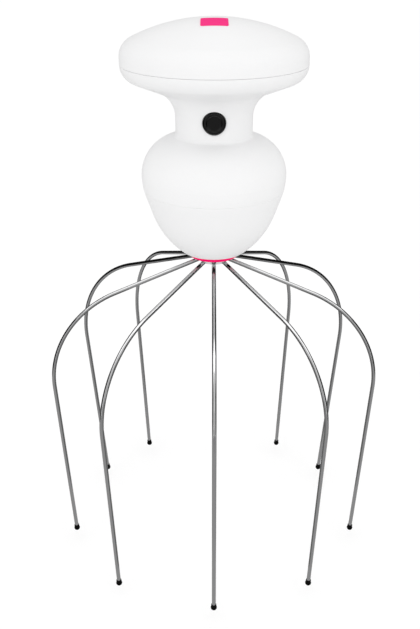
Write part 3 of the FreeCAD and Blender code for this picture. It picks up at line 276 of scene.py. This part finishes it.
def wireLine(lean):
    # heading falls along the wire, steady on straight lengths and evenly on bends,
    # and the line is its running sum from the top of the upright stem
    wire = fingerWire
    slope, front, here = (math.radians(angle) for angle in (wire["slope"], wire["frontLean"], lean))
    stemTangent = wire["stemBend"] * math.tan((math.pi / 2 - slope) / 2)
    run = wire["reach"] - wire["rootRadius"] / math.cos(slope) - stemTangent
    extraFall = wire["bendRadius"] * (math.sin(here) - math.sin(front))  # a leg that leans more starts lower
    leg = (wire["leg"] * math.cos(front) - extraFall) / math.cos(here)  # all tips end at one height
    lengths = [wire["stem"] - stemTangent, wire["stemBend"] * (math.pi / 2 - slope), run,
               wire["bendRadius"] * (math.pi / 2 + here - slope), leg]
    headings = [-90, -90, -wire["slope"], -wire["slope"], -90 - lean, -90 - lean]
    stations = np.concatenate([[0], np.cumsum(lengths)])
    counts = [wire["stemSteps"], wire["stemBendSteps"], int(run / wire["spacing"]), wire["bendSteps"],
              int(leg / wire["spacing"])]
    runs = [np.linspace(begin, end, count, endpoint=False)
            for begin, end, count in zip(stations, stations[1:], counts)]
    along = np.concatenate([*runs, stations[-1:]])
    heading = np.radians(np.interp(along, stations, headings))
    # chord of a step's arc: its length times the sine of half its turn, over half its turn
    chord = np.diff(along) * np.sinc(np.diff(heading) / 2 / np.pi)
    middle = (heading[1:] + heading[:-1]) / 2
    rootTop = boxInMillimetres("finger_wire_1")[1][2]  # the stem's flat end, at one height on all nine
    out = wire["rootRadius"] + np.concatenate([[0], np.cumsum(chord * np.cos(middle))])
    up = rootTop + np.concatenate([[0], np.cumsum(chord * np.sin(middle))])
    return along, heading, out, up


def makeFinger(number, degrees):
    # a round section carried along the line, in the upright plane that stands at this angle
    wire, theta = fingerWire, math.radians(degrees)
    lean = wire["backLean"] if abs(degrees) > 90 else wire["frontLean"]
    outward = np.array([math.sin(theta), -math.cos(theta), 0])
    sideways = np.array([math.cos(theta), math.sin(theta), 0])
    upward = np.array([0, 0, 1.0])
    along, heading, out, up = wireLine(lean)
    line = out[:, None] * outward + up[:, None] * upward
    normal = -np.sin(heading)[:, None] * outward + np.cos(heading)[:, None] * upward
    angle = np.linspace(0, 2 * np.pi, wire["sides"], endpoint=False)[None, :, None]
    tube = line[:, None] + wire["radius"] * (np.cos(angle) * normal[:, None] + np.sin(angle) * sideways)
    mesh, corners = gridMesh(f"fingerWire{number}", tube)
    addUv(mesh, corners, along, wire["sides"])
    addPiece(f"fingerWire{number}", mesh, f"finger_{number}", "spring_steel", f"finger_wire_{number}")

    # a ball round the wire's end, whose side runs up into a short collar with a rounded lip
    bead = tipBead
    collarDegrees = math.degrees(math.acos(bead["collar"] / bead["radius"]))
    ball = arcRun((0, 0), bead["radius"], -90, collarDegrees, bead["ballSteps"])
    lipCentre = (bead["collar"] - bead["lip"], bead["height"] - bead["lip"])
    lip = arcRun(lipCentre, bead["lip"], 0, 90, bead["lipSteps"])
    wall = np.linspace(ball[-1], lip[0], bead["wallSteps"])[1:-1]
    inside = np.array([[bead["bore"], bead["height"]], [bead["bore"], 0.0]])
    profile = np.concatenate([ball[1:], wall, lip, inside])
    axis = upward * math.cos(math.radians(lean)) + outward * math.sin(math.radians(lean))
    across = np.cross(axis, sideways)
    mesh, _ = gridMesh(f"tipBead{number}", turned(profile, line[-1], axis, across, bead["sides"]))
    addPiece(f"tipBead{number}", mesh, f"finger_{number}", "black_bead", f"tip_bead_{number}")


for count, angleHere in enumerate(fingerWire["angles"], start=1):
    makeFinger(count, angleHere)
print("wires and beads:", len(fingerWire["angles"]))


# push button: a soft shoulder that catches the light, and a dished face

buttonCap = {
    "radius": 4.2, "flange": 0.8, "edgeRound": 1.0, "dish": 0.38, "dishReach": 2.3, "middle": 0.2,
    "sides": 96, "edgeSteps": 14, "dishSteps": 14, "floorSteps": 10,
}


def makeButton():
    # a profile turned about the button's axis: flange, wall, rounded edge,
    # then a dish that falls from the crest as half a cosine wave to a flat floor
    cap = buttonCap
    low, high = boxInMillimetres("button_cap")
    face, back, flangeRadius = -low[1], -high[1], high[0]
    centre = (0, 0, (low[2] + high[2]) / 2)
    seat = back + cap["flange"]
    foot = np.array([[flangeRadius, back], [flangeRadius, seat], [cap["radius"], seat]])
    crest = cap["radius"] - cap["edgeRound"]
    edge = arcRun((crest, face - cap["edgeRound"]), cap["edgeRound"], 0, 90, cap["edgeSteps"])
    share = np.linspace(0, 1, cap["dishSteps"])[1:]
    depth = cap["dish"] * (1 - np.cos(np.pi * share)) / 2
    fall = np.stack([crest + (cap["dishReach"] - crest) * share, face - depth], axis=-1)
    floorReach = np.linspace(cap["dishReach"], cap["middle"], cap["floorSteps"])[1:]
    floor = np.stack([floorReach, np.full(len(floorReach), face - cap["dish"])], axis=-1)
    profile = np.concatenate([foot, edge, fall, floor])
    mesh, _ = gridMesh("pushButton", turned(profile, centre, (0, -1, 0), (1, 0, 0), cap["sides"]))
    addPiece("pushButton", mesh, "button", "black_button", "button_cap")


makeButton()
print("button done")


# battery cells: a shrunk sleeve turned in over both rims, and bare metal ends

cellLook = {
    "nubRadius": 1.9, "nubHeight": 0.9, "nubRound": 0.3, "nubFoot": 0.5, "endRound": 0.55,
    "sleeveLip": 1.1, "lipDepth": 0.14, "lipSink": 0.02, "fit": 0.03, "step": 0.10,
    "minusFlat": 0.5, "minusFall": 0.4, "middle": 0.3,
    "sides": 72, "endSteps": 12, "nubSteps": 8,
}


def makeCell(node, label, plusUp):
    # three profiles turned about the cell's axis; heights run from the flat end at 0 to the nub's top
    cell = cellLook
    low, high = boxInMillimetres(node)
    radius, length = (high[0] - low[0]) / 2, high[2] - low[2]
    origin = ((low[0] + high[0]) / 2, (low[1] + high[1]) / 2, low[2] if plusUp else high[2])
    axis = (0, 0, 1) if plusUp else (0, 0, -1)
    shoulder, lip = length - cell["nubHeight"], radius - cell["sleeveLip"]
    depth, sink, fit, step = (cell[key] for key in ("lipDepth", "lipSink", "fit", "step"))
    endRound, nubRound = cell["endRound"], cell["nubRound"]
    lower = arcRun((radius - endRound, endRound), endRound, -90, 0, cell["endSteps"])
    upper = arcRun((radius - endRound, shoulder - endRound), endRound, 0, 90, cell["endSteps"])
    sleeve = np.concatenate([[[lip, depth], [lip, sink]], lower, upper,
                             [[lip, shoulder - sink], [lip, shoulder - depth]]])
    rim, nub = lip - fit, cell["nubRadius"]
    nubEdge = arcRun((nub - nubRound, length - nubRound), nubRound, 0, 90, cell["nubSteps"])
    plusEnd = np.concatenate([[[rim, shoulder - depth - fit], [rim, shoulder - step],
                               [nub + cell["nubFoot"], shoulder - step], [nub, shoulder + step]], nubEdge])
    flat = rim - cell["minusFlat"]
    minusEnd = np.array([[rim, depth + fit], [rim, step], [flat, step],
                         [flat - cell["minusFall"], fit], [cell["middle"], fit]])
    for part, profile, slotName, covered in (("Sleeve", sleeve, "cell_jacket", (node,)),
                                             ("Plus", plusEnd, "nickel_contact", ()),
                                             ("Minus", minusEnd, "nickel_contact", ())):
        mesh, _ = gridMesh(label + part, turned(profile, origin, axis, (1, 0, 0), cell["sides"]))
        addPiece(label + part, mesh, "handle", slotName, *covered)


makeCell("cell_left", "cellLeft", True)
makeCell("cell_right", "cellRight", False)
print("cells done")


# stage: floor, lamps, reflection cards and camera, in metres

stagePlan = {
    "floorHalf": 3.5, "floorDrop": 0.0038,  # room for the tips at the fingers' inward limit
    "floorColour": (0.86, 0.86, 0.86), "paperRoughness": 0.9, "floorLift": 0.15, "ambient": 1.0,
    "lamps": [
        # name, place, aim, width, depth, watts
        ("keyLamp", (-0.55, -0.65, 0.40), (0, 0, 0.14), 0.40, 0.40, 0.52),
        ("fillLamp", (0.55, -0.65, 0.40), (0, 0, 0.14), 0.40, 0.40, 0.52),
        ("lowLamp", (0, -0.80, 0.03), (0, 0, 0.17), 0.50, 0.05, 0.12),
    ],
    # name, centre, half sizes along x, y and z, brightness; only reflections see these cards
    "cards": [
        ("leftFlag", (-0.24, 0.10, 0.11), (0, 0.35, 0.11), 0.01),
        ("rightFlag", (0.24, 0.10, 0.11), (0, 0.35, 0.11), 0.01),
        ("backFlag", (0, 0.45, 0.25), (0.50, 0, 0.25), 0.01),
        ("leftWall", (-0.55, 0.35, 0.475), (0, 0.55, 0.475), 0.01),
        ("rightWall", (0.55, 0.35, 0.475), (0, 0.55, 0.475), 0.01),
        ("roofStrip", (0, 0.40, 0.95), (0.38, 0.50, 0), 1.45),
        ("leftBox", (-0.42, -0.20, 0.60), (0, 0.18, 0.16), 2.4),
        ("rightBox", (0.42, -0.20, 0.60), (0, 0.18, 0.16), 2.4),
        ("floorCard", (0, 0.09, 0.0008), (0.24, 0.36, 0), 0.48),
        # painted shade: a dark strip on the floor behind the body and two grey sheets in the open space under
        # it, seen only in reflections, darken the wires' inner sides
        ("underPaintedShade", (0, 0.30, 0.0012), (0.060, 0.24, 0), 0.03),
        ("leftInnerPaintedShade", (-0.030, -0.015, 0.054), (0, 0.045, 0.052), 0.20),
        ("rightInnerPaintedShade", (0.030, -0.015, 0.054), (0, 0.045, 0.052), 0.20),
        ("frontCard", (0, -0.345, 0.0008), (0.20, 0.155, 0), 0.40),
        ("frontFar", (0, -0.90, 0.0008), (0.40, 0.40, 0), 0.56),
        ("frontWall", (0, -1.30, 0.22), (0.50, 0, 0.22), 0.66),
        ("roofFront", (0, -0.245, 0.94), (0.60, 0.305, 0), 2.1),
    ],
}


def plainMaterial(name, colour, roughness):
    material = bpy.data.materials.new(name)
    material.use_nodes = True
    shader = material.node_tree.nodes["Principled BSDF"]
    shader.inputs["Base Color"].default_value = (*colour, 1)
    shader.inputs["Roughness"].default_value = roughness
    shader.inputs["Specular IOR Level"].default_value = 0.0
    shader.inputs["Emission Color"].default_value = (1, 1, 1, 1)
    return material, shader


def floorPaper():
    # white paper that keeps its shadows, lifted towards white for the rays
    # that see it directly, in a reflection or through a clear piece
    material, shader = plainMaterial("floorPaper", stagePlan["floorColour"], stagePlan["paperRoughness"])
    tree = material.node_tree
    path = addNode(tree, "ShaderNodeLightPath").outputs
    direct = mathNode(tree, "MAXIMUM", path["Is Camera Ray"], path["Is Glossy Ray"])
    seen = mathNode(tree, "MAXIMUM", direct, path["Is Transmission Ray"])
    glow = mathNode(tree, "MULTIPLY", seen, stagePlan["floorLift"])
    tree.links.new(glow, shader.inputs["Emission Strength"])
    return material


def stageSheet(name, centre, halfSizes, material):
    # a flat sheet: one of the three half sizes is nothing, and the other two span it
    first, second = (np.eye(3)[axis] * size for axis, size in enumerate(halfSizes) if size)
    turns = ((-1, -1), (1, -1), (1, 1), (-1, 1))
    corners = [tuple(np.array(centre) + one * first + other * second) for one, other in turns]
    mesh = bpy.data.meshes.new(name)
    mesh.from_pydata(corners, [], [(0, 1, 2, 3)])
    mesh.materials.append(material)
    sheet = bpy.data.objects.new(name, mesh)
    bpy.context.scene.collection.objects.link(sheet)
    return sheet


def makeLamp(name, place, aim, width, depth, watts):
    lamp = bpy.data.lights.new(name, "AREA")
    lamp.shape, lamp.size, lamp.size_y, lamp.energy = "RECTANGLE", width, depth, watts
    holder = bpy.data.objects.new(name, lamp)
    holder.location = place
    direction = np.array(aim) - np.array(place)
    level = math.hypot(direction[0], direction[1])
    holder.rotation_euler = (math.atan2(level, -direction[2]), 0, math.atan2(-direction[0], direction[1]))
    holder.visible_glossy = False  # the cards make the reflections
    bpy.context.scene.collection.objects.link(holder)


def makeStage():
    half = stagePlan["floorHalf"]
    stageSheet("floor", (0, 0, -stagePlan["floorDrop"]), (half, half, 0), floorPaper())
    for name, centre, halfSizes, brightness in stagePlan["cards"]:
        paint, shader = plainMaterial(name, (0, 0, 0), 1.0)
        shader.inputs["Emission Strength"].default_value = brightness
        card = stageSheet(name, centre, halfSizes, paint)
        card.visible_camera = card.visible_diffuse = card.visible_shadow = False
    for row in stagePlan["lamps"]:
        makeLamp(*row)
    world = bpy.data.worlds.new("studio")
    world.use_nodes = True
    world.node_tree.nodes["Background"].inputs["Color"].default_value = (1, 1, 1, 1)
    world.node_tree.nodes["Background"].inputs["Strength"].default_value = stagePlan["ambient"]
    bpy.context.scene.world = world


cameraPlan = {
    "place": (-0.0015, -0.3042, 0.2473), "pitch": 25.90,  # degrees below level
    "focalPixels": 818.0, "longSide": 629.0, "sensor": 36.0, "clipStart": 0.01,
}


def makeCamera():
    plan = cameraPlan
    lens = bpy.data.cameras.new("photoCamera")
    lens.sensor_width = plan["sensor"]
    lens.lens = plan["focalPixels"] / plan["longSide"] * plan["sensor"]
    lens.clip_start = plan["clipStart"]
    camera = bpy.data.objects.new("photoCamera", lens)
    camera.location = plan["place"]
    camera.rotation_euler = (math.radians(90 - plan["pitch"]), 0, 0)
    bpy.context.scene.collection.objects.link(camera)
    bpy.context.scene.camera = camera


makeStage()
makeCamera()
bpy.context.scene.view_settings.view_transform = "Standard"
print("stage set")
